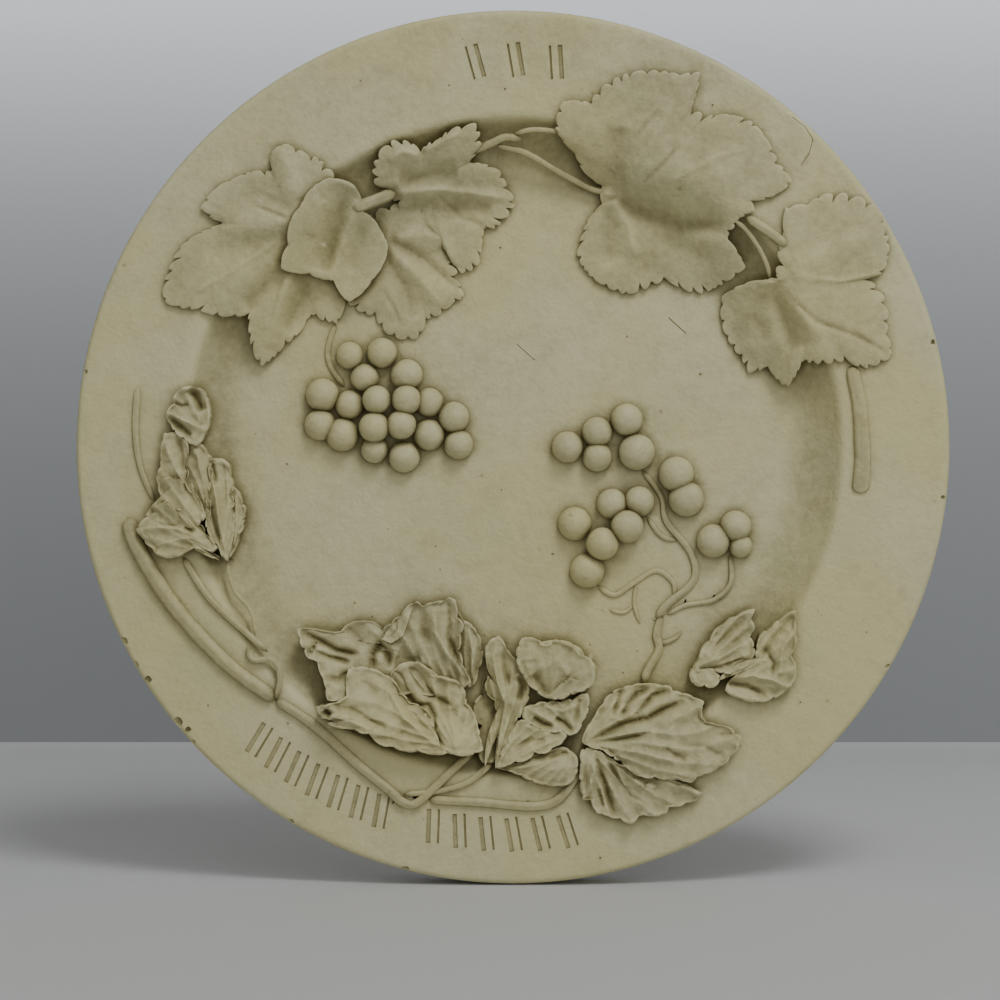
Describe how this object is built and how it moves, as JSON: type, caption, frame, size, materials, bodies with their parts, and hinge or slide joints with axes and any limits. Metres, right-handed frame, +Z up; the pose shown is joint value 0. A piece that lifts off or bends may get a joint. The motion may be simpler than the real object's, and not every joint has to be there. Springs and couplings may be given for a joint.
{
  "type": "decorative wall plaque",
  "caption": "Round cast wall plaque with a broad plain rim, a hollowed middle and a carved relief of vine leaves, grapes and canes; hangs flat against a wall.",
  "frame": {"origin": "middle of the flat back, in the plane of the wall", "axes": "+X to the right and +Z up as the plaque hangs, +Y out of its back into the wall; the relief faces -Y"},
  "size_m": [0.35, 0.0319, 0.35],
  "materials": {
    "cast_plaster": "matt cream cast plaster, toned olive brown in the hollows"
  },
  "bodies": {
    "root": {"plaque": "cast_plaster"}
  },
  "joints": []
}
